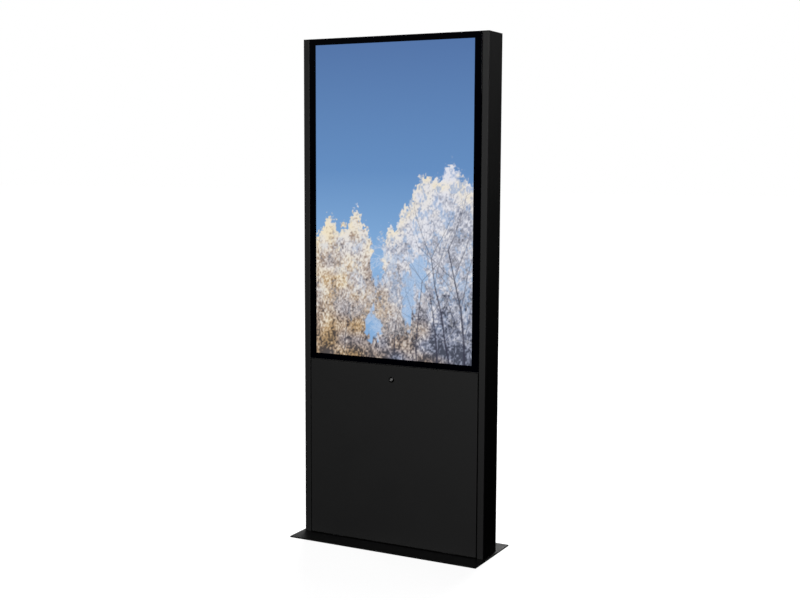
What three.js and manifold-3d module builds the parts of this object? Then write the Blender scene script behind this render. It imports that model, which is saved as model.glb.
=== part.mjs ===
// Floor-standing portrait touchscreen kiosk, in millimetres, +Z up.
// The origin is the middle of the base plate's underside, and the screen faces -Y.
import * as THREE from "three";
import { mergeVertices } from "three/addons/utils/BufferGeometryUtils.js";
import Module from "manifold-3d";

const wasm = await Module();
wasm.setup();

// ---- Driving dimensions ----
const bodyWidth = 794;
const bodyDepth = 124;
const bodyHeight = 1980;

const plateSideReach = 13;
const plateFrontReach = 96;
const plateThickness = 5;
const anchorHoleRadius = 6;
const anchorFromSide = 67;
const anchorFromMiddle = 35;
const cableHoleRadius = 30;
const cableHoleBack = 20;

const pillarSheet = 2;
const pillarBend = 2.5;
const frontFlange = 27.5;
const rearFlange = 26;
const returnDepth = 17;

const glassThickness = 4;
const glassSideGap = 1;
const activeWidth = 680.4;
const activeHeight = 1209.6;
const glassAboveImage = 22.6;
const glassBelowImage = 23.5;
const displayBorder = 12.8;
const displayDepth = 14;
const chassisInset = 33;
const chassisDepth = 16;
const driverBoxWidth = 300;
const driverBoxHeight = 290;
const driverBoxDepth = 12;
const driverBoxBelowMiddle = 40;
const controllerWidth = 90;
const controllerHeight = 60;
const controllerAboveMiddle = 90;

const doorSideGap = 2.5;
const doorAbovePlate = 2;
const doorSheet = 1.5;
const doorPanDepth = 20;
const doorLip = 12;
const doorStiffenerFromMiddle = 150;
const ledgeAboveDoor = 1.2;
const ledgeStrikeDrop = 38;
const ledgeBehindFace = 2;

const lockBelowDoorTop = 55;
const lockFaceRadius = 11;
const lockProud = 4;
const lockBodyRadius = 9;
const lockCoreRadius = 6;
const camLength = 40;
const camWidth = 16;
const camThickness = 3;
const lockNutAcross = 27;
const lockNutLength = 5;

const hingeKnuckleRadius = 1.7;
const hingePinRadius = 0.8;
const hingeWidth = 60;
const hingeFromMiddle = 250;
const hingeAxisBehindFace = 2;
const hingeAxisAbovePlate = 2.2;
const hingeLeaf = 1.2;
const hingeBaseLeafDepth = 22;
const hingeDoorLeafHeight = 32;

const vesaPitch = 400;
const railWidth = 30;
const railDepth = 20;
const railSheet = 2;
const railBend = 2;
const vesaBoltRadius = 3;
const crossRailHeight = 40;
const crossRailDepth = 20;
const crossRailOffset = 270;

const coverSheet = 2;
const coverSideGap = 1.5;
const coverSplitAboveLedge = 10;
const coverSplitGap = 2;
const coverAbovePlate = 2;
const stripWidth = 40;
const stripSheet = 2;
const screwRowInset = 60;
const screwFromSide = 38;
const ventLength = 100;
const ventWidth = 5;
const ventPitch = 11;
const screwRadius = 2.5;
const screwHeadRadius = 4.75;
const screwLength = 12;

const fanSize = 120;
const fanDepth = 25;
const fanFromMiddle = 160;
const fanBelowTop = 170;
const fanBore = 57;
const fanHolePitch = 105;
const fanHoleRadius = 2.2;
const bladeCount = 7;
const rotorTip = 55;
const rotorHub = 19;

const equipmentPlateLow = 180;
const equipmentPlateHigh = 640;
const equipmentPlateFront = 20;
const playerLeft = 60;
const playerLow = 330;
const playerWidth = 200;
const playerHeight = 160;
const playerDepth = 40;
const playerVents = 8;
const buttonInset = 22;
const buttonRadius = 6;
const buttonTravel = 1.2;
const stripBarLeft = -300;
const stripBarLow = 220;
const stripBarWidth = 280;
const stripBarHeight = 50;
const stripBarDepth = 38;
const inletHeight = 105;
const inletFromMiddle = 250;
const inletFlange = [58, 70];
const inletBody = [48, 60];
const inletDepth = 34;
const inletSocket = [26, 18];
const inletSocketDepth = 17;
const rockerWell = [22, 22];
const rockerWellDepth = 12;
const rockerTilt = 8;
const rockerPivotDepth = 4;
const rockerAboveInlet = 15;
const socketBelowInlet = 15;

// ---- Clearances ----
const seat = 0.3;
const runningGap = 0.08;
const coreGap = 0.13;
const holeGap = 0.3;
const knuckleGap = 0.4;
const buttonGap = 0.4;
const strikeGap = 4;

// ---- Places worked out from the sizes above ----
const front = -bodyDepth / 2;
const rear = bodyDepth / 2;
const side = bodyWidth / 2;
const plateWidth = bodyWidth + 2 * plateSideReach;
const plateDepth = bodyDepth + 2 * plateFrontReach;
const floorTop = plateThickness;
const capUnder = bodyHeight - pillarSheet;
const pillarFoot = floorTop + seat;
const openingSide = side - frontFlange;
const glassSide = openingSide - glassSideGap;
const glassTop = capUnder - seat;
const imageTop = glassTop - glassAboveImage;
const imageBottom = imageTop - activeHeight;
const imageMiddle = (imageTop + imageBottom) / 2;
const glassBack = front + glassThickness;
const glassBottom = imageBottom - glassBelowImage;
const ledgeTop = glassBottom - seat;
const doorTop = ledgeTop - pillarSheet - ledgeAboveDoor;
const displayFront = glassBack + seat;
const displayBack = displayFront + displayDepth;
const displaySide = activeWidth / 2 + displayBorder;
const displayTop = imageTop + displayBorder;
const displayBottom = imageBottom - displayBorder;
const chassisFront = displayBack + seat;
const chassisBack = chassisFront + chassisDepth;
const driverBoxLow = imageMiddle - driverBoxBelowMiddle - driverBoxHeight;
const controllerMiddle = imageMiddle + controllerAboveMiddle;
const railFront = chassisBack + seat;
const railBack = railFront + railDepth;
const crossFront = railBack + seat;
const doorSide = openingSide - doorSideGap;
const doorBottom = floorTop + doorAbovePlate;
const doorBack = front + doorPanDepth;
const hingeY = front + hingeAxisBehindFace;
const hingeZ = floorTop + hingeAxisAbovePlate;
const strikeFront = doorBack + strikeGap;
const lockZ = doorTop - lockBelowDoorTop;
const coverSplit = ledgeTop + coverSplitAboveLedge;
const coverSide = side - rearFlange - coverSideGap;
const coverInside = rear - coverSheet;
const coverLow = pillarFoot + coverAbovePlate;
const stripBack = coverInside - seat;
const fanZ = bodyHeight - fanBelowTop;
const playerX = [playerLeft, playerLeft + playerWidth];
const playerZ = [playerLow, playerLow + playerHeight];
const playerFront = equipmentPlateFront - seat - playerDepth;
const barX = [stripBarLeft, stripBarLeft + stripBarWidth];
const barZ = [stripBarLow, stripBarLow + stripBarHeight];
const barFront = equipmentPlateFront - seat - stripBarDepth;

const group = new THREE.Group();

// ---- Finishes ----
const finishes = {
  powderBlack: [0x1c1c1d, 0.6, 0.2],
  plateSteel: [0x2b2c2e, 0.35, 0.6],
  zincSteel: [0x9a9ea3, 0.4, 0.9],
  innerSteel: [0x2f3134, 0.6, 0.5],
  glassBlack: [0x050608, 0.06, 0],
  displayBlack: [0x101113, 0.5, 0.1],
  aluminium: [0xb4b7ba, 0.4, 0.9],
  chrome: [0xc9cbce, 0.15, 1],
  plasticBlack: [0x161617, 0.55, 0],
  plasticGrey: [0x4a4c4f, 0.6, 0],
  cableJacket: [0x0e0e0f, 0.7, 0],
};

function add(name, geometry, finish) {
  const [color, roughness, metalness] = finishes[finish];
  const material = new THREE.MeshStandardMaterial({ color, roughness, metalness });
  const mesh = new THREE.Mesh(geometry, material);
  mesh.name = name;
  group.add(mesh);
}

// ---- Solids ----
function toSolid(geometry) {
  const bare = geometry.clone();
  bare.deleteAttribute("normal");
  bare.deleteAttribute("uv");
  const merged = mergeVertices(bare, 1e-4);
  const vertProperties = merged.attributes.position.array;
  const triVerts = new Uint32Array(merged.index.array);
  return new wasm.Manifold(new wasm.Mesh({ numProp: 3, vertProperties, triVerts }));
}

function toGeometry(solid) {
  const mesh = solid.getMesh();
  const geometry = new THREE.BufferGeometry();
  geometry.setAttribute("position", new THREE.BufferAttribute(mesh.vertProperties, 3));
  geometry.setIndex(new THREE.BufferAttribute(mesh.triVerts, 1));
  return geometry;
}

function join(...geometries) {
  const [first, ...rest] = geometries.map(toSolid);
  return toGeometry(rest.reduce((whole, next) => whole.add(next), first));
}

function cut(geometry, ...tools) {
  const whole = toSolid(geometry);
  return toGeometry(tools.map(toSolid).reduce((left, tool) => left.subtract(tool), whole));
}

function block(x, y, z) {
  const geometry = new THREE.BoxGeometry(x[1] - x[0], y[1] - y[0], z[1] - z[0]);
  return geometry.translate((x[0] + x[1]) / 2, (y[0] + y[1]) / 2, (z[0] + z[1]) / 2);
}

// A round bar along one axis, from a start point, with the length going to plus.
function bar(axis, start, length, radius, sides = 24) {
  const geometry = new THREE.CylinderGeometry(radius, radius, length, sides);
  geometry.translate(0, length / 2, 0);
  if (axis === "x") geometry.rotateZ(-Math.PI / 2);
  if (axis === "z") geometry.rotateX(Math.PI / 2);
  return geometry.translate(...start);
}

function extrude(shape, length) {
  return new THREE.ExtrudeGeometry(shape, { depth: length, bevelEnabled: false });
}

// A shape drawn in (y, z), pulled along X.
function alongX(shape, from, to) {
  const turn = new THREE.Matrix4().set(0, 0, 1, from, 1, 0, 0, 0, 0, 1, 0, 0, 0, 0, 0, 1);
  return extrude(shape, to - from).applyMatrix4(turn);
}

// A shape drawn in (x, z), pulled along Y.
function alongY(shape, from, to) {
  const turn = new THREE.Matrix4().set(1, 0, 0, 0, 0, 0, -1, to, 0, 1, 0, 0, 0, 0, 0, 1);
  return extrude(shape, to - from).applyMatrix4(turn);
}

// A shape drawn in (x, y), pulled along Z.
function alongZ(shape, from, to) {
  return extrude(shape, to - from).translate(0, 0, from);
}

function rectangle(low, high) {
  const shape = new THREE.Shape();
  shape.moveTo(low[0], low[1]);
  shape.lineTo(high[0], low[1]);
  shape.lineTo(high[0], high[1]);
  shape.lineTo(low[0], high[1]);
  return shape;
}

function arc(x, y, radius, from, turn, steps) {
  const points = [];
  for (let k = 0; k <= steps; k++) {
    const angle = from + (turn * k) / steps;
    points.push(new THREE.Vector2(x + radius * Math.cos(angle), y + radius * Math.sin(angle)));
  }
  return points;
}

function roundHole(shape, x, y, radius, sides = 16) {
  const points = arc(x, y, radius, 0, -Math.PI * 2, sides).slice(1);
  shape.holes.push(new THREE.Path(points));
}

// An obround hole, its long side along the first axis.
function slotHole(shape, x, y, length, width) {
  const half = (length - width) / 2;
  const right = arc(x + half, y, width / 2, Math.PI / 2, -Math.PI, 4);
  const left = arc(x - half, y, width / 2, -Math.PI / 2, -Math.PI, 4);
  shape.holes.push(new THREE.Path([...right, ...left]));
}

// The outline of folded sheet: a centre line of [a, b, bend radius] points, made as thick as the sheet.
function folded(points, sheet) {
  const line = [];
  const at = (i) => new THREE.Vector2(points[i][0], points[i][1]);
  const heading = (i) => at(i + 1).sub(at(i)).normalize();
  line.push([at(0), heading(0)]);
  for (let i = 1; i < points.length - 1; i++) {
    const into = heading(i - 1);
    const out = heading(i);
    const turn = Math.atan2(into.cross(out), into.dot(out));
    const radius = points[i][2];
    const back = radius * Math.tan(Math.abs(turn) / 2);
    const start = at(i).addScaledVector(into, -back);
    const inward = new THREE.Vector2(-into.y, into.x).multiplyScalar(Math.sign(turn) * radius);
    const centre = start.clone().add(inward);
    const steps = 4;
    for (let k = 0; k <= steps; k++) {
      const angle = (turn * k) / steps;
      line.push([start.clone().rotateAround(centre, angle), into.clone().rotateAround(new THREE.Vector2(), angle)]);
    }
  }
  const last = points.length - 1;
  line.push([at(last), heading(last - 1)]);
  const edge = (way) => ([p, t]) => new THREE.Vector2(p.x - t.y * way, p.y + t.x * way);
  const left = line.map(edge(sheet / 2));
  const right = line.map(edge(-sheet / 2)).reverse();
  return new THREE.Shape([...left, ...right]);
}

function mirrored(points) {
  return points.map(([x, ...others]) => [-x, ...others]);
}

// ---- Frame ----
function basePlate() {
  const shape = rectangle([-plateWidth / 2, -plateDepth / 2], [plateWidth / 2, plateDepth / 2]);
  for (const x of [-1, 1]) {
    for (const y of [-1, 1]) {
      roundHole(shape, x * (side - anchorFromSide), y * anchorFromMiddle, anchorHoleRadius);
    }
  }
  roundHole(shape, 0, cableHoleBack, cableHoleRadius, 32);
  add("base_plate", alongZ(shape, 0, plateThickness), "plateSteel");
}

function pillars() {
  const half = pillarSheet / 2;
  const flangeInner = openingSide + half;
  const section = [
    [flangeInner, front + returnDepth],
    [flangeInner, front + half, pillarBend],
    [side - half, front + half, pillarBend],
    [side - half, rear - half, pillarBend],
    [side - rearFlange, rear - half],
  ];
  add("side_pillar_right", alongZ(folded(section, pillarSheet), pillarFoot, capUnder - seat), "powderBlack");
  add("side_pillar_left", alongZ(folded(mirrored(section), pillarSheet), pillarFoot, capUnder - seat), "powderBlack");
}

function topCap() {
  const shape = rectangle([-side, front], [side, rear]);
  add("top_cap", alongZ(shape, capUnder, bodyHeight), "powderBlack");
}

// The folded angle behind the glass's top edge, hung under the cap.
function headerRail() {
  const sheet = 1.5;
  const bend = 1.75;
  const aboveDisplay = 2;
  const reach = 32;
  const upright = glassBack + seat + sheet / 2;
  const flat = capUnder - seat - sheet / 2;
  const path = [[upright, displayTop + aboveDisplay], [upright, flat, bend], [upright + reach, flat]];
  add("header_rail", alongX(folded(path, sheet), -openingSide + seat, openingSide - seat), "innerSteel");
}

// The cross rail between glass and door: a ledge under the glass and a strike behind the door.
function midRail() {
  const half = pillarSheet / 2;
  const path = [
    [front + ledgeBehindFace, ledgeTop - half],
    [strikeFront + half, ledgeTop - half, pillarBend],
    [strikeFront + half, ledgeTop - ledgeStrikeDrop],
  ];
  add("mid_rail", alongX(folded(path, pillarSheet), -openingSide + seat, openingSide - seat), "innerSteel");
}

function crossRails() {
  const wall = 2;
  const span = side - pillarSheet - seat;
  for (const [name, way] of [["upper", 1], ["lower", -1]]) {
    const middle = imageMiddle + way * crossRailOffset;
    const low = [crossFront, middle - crossRailHeight / 2];
    const high = [crossFront + crossRailDepth, middle + crossRailHeight / 2];
    const shape = rectangle(low, high);
    shape.holes.push(rectangle([low[0] + wall, low[1] + wall], [high[0] - wall, high[1] - wall]));
    add(`${name}_cross_rail`, alongX(shape, -span, span), "innerSteel");
  }
}

// ---- Screen ----
function touchGlass() {
  const shape = rectangle([-glassSide, glassBottom], [glassSide, glassTop]);
  add("touch_glass", alongY(shape, front, glassBack), "glassBlack");
}

// Bars bonded behind the glass's long edges, which hook it to the pillars.
function glassBars() {
  const besideDisplay = 2;
  const insideGlass = 1;
  const aboveGlassEdge = 4;
  const inner = displaySide + besideDisplay;
  const outer = glassSide - insideGlass;
  const y = [glassBack + seat, front + returnDepth];
  const z = [glassBottom + aboveGlassEdge, displayTop];
  add("glass_bar_left", block([-outer, -inner], y, z), "aluminium");
  add("glass_bar_right", block([inner, outer], y, z), "aluminium");
}

function display() {
  const panel = block([-displaySide, displaySide], [displayFront, displayBack], [displayBottom, displayTop]);
  add("display_panel", panel, "displayBlack");
  const chassisSide = displaySide - chassisInset;
  const z = [displayBottom + chassisInset, displayTop - chassisInset];
  add("display_chassis", block([-chassisSide, chassisSide], [chassisFront, chassisBack], z), "innerSteel");
  const depth = [chassisBack + seat, chassisBack + seat + driverBoxDepth];
  const half = driverBoxWidth / 2;
  const driverHigh = driverBoxLow + driverBoxHeight;
  add("driver_board_cover", block([-half, half], depth, [driverBoxLow, driverHigh]), "zincSteel");
  const controllerHalf = controllerWidth / 2;
  const controllerLow = controllerMiddle - controllerHeight / 2;
  const controllerHigh = controllerMiddle + controllerHeight / 2;
  const controller = block([-controllerHalf, controllerHalf], depth, [controllerLow, controllerHigh]);
  add("touch_controller", controller, "plasticBlack");
}

function vesaRails() {
  const half = railSheet / 2;
  const reach = crossRailOffset + crossRailHeight / 2;
  for (const [name, way] of [["left", -1], ["right", 1]]) {
    const x = (way * vesaPitch) / 2;
    const outer = railWidth / 2 - half;
    const path = [
      [x - outer, railBack],
      [x - outer, railFront + half, railBend],
      [x + outer, railFront + half, railBend],
      [x + outer, railBack],
    ];
    const rail = alongZ(folded(path, railSheet), imageMiddle - reach, imageMiddle + reach);
    const holes = [-1, 1].map((up) => {
      const start = [x, railFront - 1, imageMiddle + (up * vesaPitch) / 2];
      return bar("y", start, railSheet + 2, vesaBoltRadius + holeGap, 12);
    });
    add(`vesa_rail_${name}`, cut(rail, ...holes), "zincSteel");
    for (const [level, up] of [["lower", -1], ["upper", 1]]) {
      vesaBolt(`vesa_bolt_${name}_${level}`, x, imageMiddle + (up * vesaPitch) / 2);
    }
  }
}

// A hex bolt through the rail that ends short of the display chassis's skin.
function vesaBolt(name, x, z) {
  const headLength = 4;
  const headRadius = 5.5;
  const shankLength = railSheet + 2 * seat + 1;
  const head = bar("y", [x, railFront + railSheet + seat, z], headLength, headRadius, 6);
  const shank = bar("y", [x, railFront - seat / 2, z], shankLength, vesaBoltRadius, 12);
  add(name, join(head, shank), "zincSteel");
}

// ---- Service door ----
function serviceDoor() {
  const x = [-doorSide, doorSide];
  const z = [doorBottom, doorTop];
  const behindSkin = [front + doorSheet / 2, doorBack];
  const lipDepth = [doorBack - doorSheet, doorBack];
  const lipAboveBottom = 25;
  const bottomShort = 2;
  const parts = [block(x, [front, front + doorSheet], z)];
  parts.push(block(x, behindSkin, [doorTop - doorSheet, doorTop]));
  parts.push(block(x, lipDepth, [doorTop - doorLip, doorTop]));
  parts.push(block(x, [behindSkin[0], doorBack - bottomShort], [doorBottom, doorBottom + doorSheet]));
  for (const way of [-1, 1]) {
    const edge = [way * doorSide, way * (doorSide - doorSheet)].sort((a, b) => a - b);
    const lip = [way * doorSide, way * (doorSide - doorLip)].sort((a, b) => a - b);
    parts.push(block(edge, behindSkin, z));
    parts.push(block(lip, lipDepth, [doorBottom + lipAboveBottom, doorTop]));
  }
  const tools = [bar("y", [0, front - 1, lockZ], doorSheet + 2, lockBodyRadius + holeGap)];
  for (const way of [-1, 1]) {
    const middle = way * hingeFromMiddle;
    const notch = hingeWidth / 2 + 1;
    const top = hingeZ + hingeKnuckleRadius + knuckleGap;
    tools.push(block([middle - notch, middle + notch], [front - 1, doorBack + 1], [doorBottom - 1, top]));
  }
  add("service_door", cut(join(...parts), ...tools), "powderBlack");
}

// Hat sections spot-welded up the inside of the door skin.
function doorStiffeners() {
  const sheet = 1.2;
  const bend = 1.5;
  const brim = 25;
  const crownHalf = 12;
  const endShort = 30;
  const flat = front + doorSheet + seat + sheet / 2;
  const crown = flat + 15;
  for (const [name, way] of [["left", -1], ["right", 1]]) {
    const x = way * doorStiffenerFromMiddle;
    const path = [
      [x - brim, flat],
      [x - crownHalf, flat, bend],
      [x - crownHalf, crown, bend],
      [x + crownHalf, crown, bend],
      [x + crownHalf, flat, bend],
      [x + brim, flat],
    ];
    const hat = alongZ(folded(path, sheet), doorBottom + endShort, doorTop - endShort);
    add(`door_stiffener_${name}`, hat, "innerSteel");
  }
}

function doorHinge(name, middle) {
  const half = hingeWidth / 2;
  const third = hingeWidth / 3;
  const centre = [hingeY, hingeZ];
  const knuckle = (x, length) => bar("x", [x, ...centre], length, hingeKnuckleRadius, 16);
  const clearing = (x, length) => bar("x", [x, ...centre], length, hingeKnuckleRadius + knuckleGap, 16);
  const bore = bar("x", [middle - half - 1, ...centre], hingeWidth + 2, hingePinRadius + runningGap, 16);
  const left = middle - half;
  const right = middle + half - third;
  const inner = middle - third / 2;
  const x = [middle - half, middle + half];
  const leafLow = floorTop + seat;
  const plateLeaf = block(x, [hingeY, hingeY + hingeBaseLeafDepth], [leafLow, leafLow + hingeLeaf]);
  const cleared = cut(plateLeaf, clearing(inner - seat, third + 2 * seat));
  const fixed = join(cleared, knuckle(left, third), knuckle(right, third));
  add(`hinge_base_leaf_${name}`, cut(fixed, bore), "zincSteel");
  const leafFront = front + doorSheet + seat;
  const upright = block(x, [leafFront, leafFront + hingeLeaf], [hingeZ, hingeZ + hingeDoorLeafHeight]);
  const freed = cut(upright, clearing(left - 1, third + 1 + seat), clearing(right - seat, third + 1 + seat));
  const moving = join(freed, knuckle(inner + seat / 2, third - seat));
  add(`hinge_door_leaf_${name}`, cut(moving, bore), "zincSteel");
  add(`hinge_pin_${name}`, bar("x", [left, ...centre], hingeWidth, hingePinRadius, 16), "zincSteel");
}

function doorLock() {
  const face = front - lockProud;
  const pastSheet = 2;
  const coreBack = strikeFront + pillarSheet + pastSheet;
  const barrelBack = doorBack + pastSheet;
  const coreRecess = 0.5;
  const bezel = bar("y", [0, face, lockZ], lockProud - seat, lockFaceRadius, 32);
  const body = bar("y", [0, face, lockZ], barrelBack - face, lockBodyRadius, 32);
  const bore = bar("y", [0, face - 1, lockZ], barrelBack - face + 2, lockCoreRadius + coreGap, 32);
  add("lock_barrel", cut(join(bezel, body), bore), "chrome");
  const nutFront = front + doorSheet + seat;
  const nut = bar("y", [0, nutFront, lockZ], lockNutLength, lockNutAcross / 2, 6);
  const thread = bar("y", [0, nutFront - 1, lockZ], lockNutLength + 2, lockBodyRadius + holeGap);
  add("lock_nut", cut(nut, thread), "zincSteel");
  const core = bar("y", [0, face + coreRecess, lockZ], coreBack - face - coreRecess, lockCoreRadius, 32);
  const keyway = block([-0.9, 0.9], [face, face + 12], [lockZ - 3.6, lockZ + 3.6]);
  add("lock_core", cut(core, keyway), "chrome");
  const camFront = coreBack + seat;
  const camHalf = camWidth / 2;
  const shape = rectangle([-camHalf, lockZ - camHalf], [camLength, lockZ + camHalf]);
  add("lock_cam", alongY(shape, camFront, camFront + camThickness), "zincSteel");
}

// ---- Rear ----
function screwPlaces() {
  const x = side - screwFromSide;
  const rows = [
    ["low", screwRowInset],
    ["mid", coverSplit - screwRowInset],
    ["upper_mid", coverSplit + screwRowInset],
    ["top", bodyHeight - screwRowInset],
  ];
  return rows.flatMap(([level, z]) => [[`left_${level}`, -x, z], [`right_${level}`, x, z]]);
}

function coverScrew(name, x, z) {
  const head = rear + seat;
  const driveFloor = head + 1.6;
  const driveRadius = 1.6;
  const crown = head + 2.6;
  const profile = [
    [0, driveFloor],
    [driveRadius, driveFloor],
    [driveRadius, crown],
    [screwHeadRadius * 0.6, head + 2.4],
    [screwHeadRadius * 0.92, head + 1.3],
    [screwHeadRadius, head],
    [screwRadius, head],
    [screwRadius, head - screwLength],
    [0, head - screwLength],
  ];
  const points = profile.reverse().map(([r, y]) => new THREE.Vector2(r, y));
  add(`cover_screw_${name}`, new THREE.LatheGeometry(points, 12).translate(x, 0, z), "zincSteel");
}

function coverStrips() {
  const top = capUnder - seat;
  const insidePillar = 5;
  for (const [name, way] of [["left", -1], ["right", 1]]) {
    const outer = side - pillarSheet - insidePillar;
    const ends = [way * outer, way * (outer - stripWidth)].sort((a, b) => a - b);
    const shape = rectangle([ends[0], coverLow], [ends[1], top]);
    for (const [, x, z] of screwPlaces()) {
      if (Math.sign(x) === way) roundHole(shape, x, z, screwRadius + holeGap);
    }
    add(`cover_strip_${name}`, alongY(shape, stripBack - stripSheet, stripBack), "zincSteel");
  }
}

// A block of vent slots, its lowest row at low and a whole number of rows above it.
function ventRows(shape, x, low, count) {
  for (let k = 0; k < count; k++) {
    slotHole(shape, x, low + k * ventPitch, ventLength, ventWidth);
  }
}

function coverHoles(shape, low, high) {
  for (const [, x, z] of screwPlaces()) {
    if (z > low && z < high) roundHole(shape, x, z, screwRadius + holeGap);
  }
}

function rearCovers() {
  const fanRows = 10;
  const smallRows = 4;
  const lowerRows = 5;
  const upperLow = coverSplit + coverSplitGap / 2;
  const upperHigh = capUnder - seat;
  const upper = rectangle([-coverSide, upperLow], [coverSide, upperHigh]);
  for (const way of [-1, 1]) {
    ventRows(upper, way * fanFromMiddle, fanZ - ((fanRows - 1) / 2) * ventPitch, fanRows);
    ventRows(upper, way * fanFromMiddle, upperLow + 60, smallRows);
  }
  coverHoles(upper, upperLow, upperHigh);
  add("rear_cover_upper", alongY(upper, coverInside, rear), "powderBlack");

  const lowerHigh = coverSplit - coverSplitGap / 2;
  const lower = rectangle([-coverSide, coverLow], [coverSide, lowerHigh]);
  for (const way of [-1, 1]) {
    ventRows(lower, way * fanFromMiddle, lowerHigh - 110, lowerRows);
  }
  coverHoles(lower, coverLow, lowerHigh);
  const window = [inletBody[0] / 2 + holeGap, inletBody[1] / 2 + holeGap];
  const low = [inletFromMiddle - window[0], inletHeight - window[1]];
  lower.holes.push(rectangle(low, [inletFromMiddle + window[0], inletHeight + window[1]]));
  add("rear_cover_lower", alongY(lower, coverInside, rear), "powderBlack");
}

function fan(name, x) {
  const z = fanZ;
  const back = coverInside - seat;
  const start = back - fanDepth;
  const half = fanSize / 2;
  const holeReach = fanHolePitch / 2;
  const strutDepth = 4;
  const shape = rectangle([x - half, z - half], [x + half, z + half]);
  roundHole(shape, x, z, fanBore, 40);
  for (const [cx, cz] of [[-1, -1], [1, -1], [1, 1], [-1, 1]]) {
    roundHole(shape, x + cx * holeReach, z + cz * holeReach, fanHoleRadius);
  }
  const frame = alongY(shape, start, back);
  const motor = bar("y", [x, start, z], strutDepth, rotorHub);
  const spider = [0, 1, 2].map((k) => {
    const strut = block([rotorHub - 2, fanBore + 1], [start, start + strutDepth], [-2.5, 2.5]);
    strut.applyMatrix4(new THREE.Matrix4().makeRotationY((k * Math.PI * 2) / 3 + 0.5));
    return strut.translate(x, 0, z);
  });
  add(`fan_frame_${name}`, join(frame, motor, ...spider), "plasticBlack");

  const hubStart = start + strutDepth + 1;
  const hubLength = fanDepth - strutDepth - 3;
  const hub = bar("y", [x, hubStart, z], hubLength, rotorHub);
  const blades = [];
  const rooted = 3;
  const bladeSheet = 1.6;
  const pitchAngle = 0.75;
  for (let k = 0; k < bladeCount; k++) {
    const blade = new THREE.BoxGeometry(rotorTip - rotorHub + rooted, bladeSheet, hubLength * 1.05);
    blade.rotateX(Math.PI / 2 - pitchAngle);
    blade.translate((rotorTip + rotorHub - rooted) / 2, hubStart + hubLength / 2, 0);
    blade.applyMatrix4(new THREE.Matrix4().makeRotationY((k * Math.PI * 2) / bladeCount));
    blades.push(blade.translate(x, 0, z));
  }
  add(`fan_rotor_${name}`, join(hub, ...blades), "plasticGrey");
}

// ---- Service bay ----
function equipmentPlate() {
  const sheet = 1.5;
  const bend = 2;
  const wing = 22;
  const y = equipmentPlateFront + sheet / 2;
  const x = side - pillarSheet - seat - sheet / 2;
  const path = [[-x, y + wing], [-x, y, bend], [x, y, bend], [x, y + wing]];
  add("equipment_plate", alongZ(folded(path, sheet), equipmentPlateLow, equipmentPlateHigh), "zincSteel");
}

function mediaPlayer() {
  const buttonX = playerX[1] - buttonInset;
  const buttonZ = playerZ[0] + buttonInset;
  const wellDepth = 6;
  const shell = block(playerX, [playerFront, playerFront + playerDepth], playerZ);
  const tools = [bar("y", [buttonX, playerFront - 1, buttonZ], wellDepth + 1, buttonRadius + buttonGap)];
  for (let k = 0; k < playerVents; k++) {
    const x = playerX[0] + 24 + k * 16;
    tools.push(block([x, x + 6], [playerFront - 1, playerFront + 2], [playerZ[1] - 60, playerZ[1] - 15]));
  }
  add("media_player", cut(shell, ...tools), "plasticBlack");
  const capStart = playerFront - buttonTravel - seat;
  const cap = bar("y", [buttonX, capStart, buttonZ], 5.5, buttonRadius);
  add("player_button", cap, "plasticGrey");
}

function powerStrip() {
  add("power_strip", block(barX, [barFront, barFront + stripBarDepth], barZ), "plasticBlack");
}

function mainsInlet() {
  const x = inletFromMiddle;
  const z = inletHeight;
  const across = (size) => [x - size[0] / 2, x + size[0] / 2];
  const upright = (size, middle) => [middle - size[1] / 2, middle + size[1] / 2];
  const face = rear + 3;
  const flange = block(across(inletFlange), [rear + seat, face], upright(inletFlange, z));
  const body = block(across(inletBody), [rear - inletDepth, rear + 1], upright(inletBody, z));
  const socketDepth = [rear - inletSocketDepth, face + 1];
  const socket = block(across(inletSocket), socketDepth, upright(inletSocket, z - socketBelowInlet));
  const wellDepth = [rear - rockerWellDepth, face + 1];
  const well = block(across(rockerWell), wellDepth, upright(rockerWell, z + rockerAboveInlet));
  add("mains_inlet", cut(join(flange, body), socket, well), "plasticBlack");

  // The rocker rests tilted to off, turned about a pivot inside its well.
  const profile = [[-4, -4], [6.5, -9.4], [8.5, -9.2], [6, 0], [8.5, 9.2], [6.5, 9.4], [-4, 4]];
  const shape = new THREE.Shape(profile.map(([y, up]) => new THREE.Vector2(y, up)));
  const rocker = alongX(shape, -10, 10).rotateX(THREE.MathUtils.degToRad(rockerTilt));
  add("inlet_rocker", rocker.translate(x, rear - rockerPivotDepth, z + rockerAboveInlet), "plasticGrey");
}

// A jacketed lead along a smooth curve, with a moulded plug at its lower end.
function lead(name, points, radius, plug) {
  const curve = new THREE.CatmullRomCurve3(points.map((p) => new THREE.Vector3(...p)), false, "centripetal");
  const circle = new THREE.Shape(arc(0, 0, radius, 0, Math.PI * 2, 8).slice(1));
  const steps = Math.min(40, Math.round(curve.getLength() / 22));
  const tube = new THREE.ExtrudeGeometry(circle, { steps, extrudePath: curve });
  add(name, join(tube, plug), "cableJacket");
}

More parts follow.
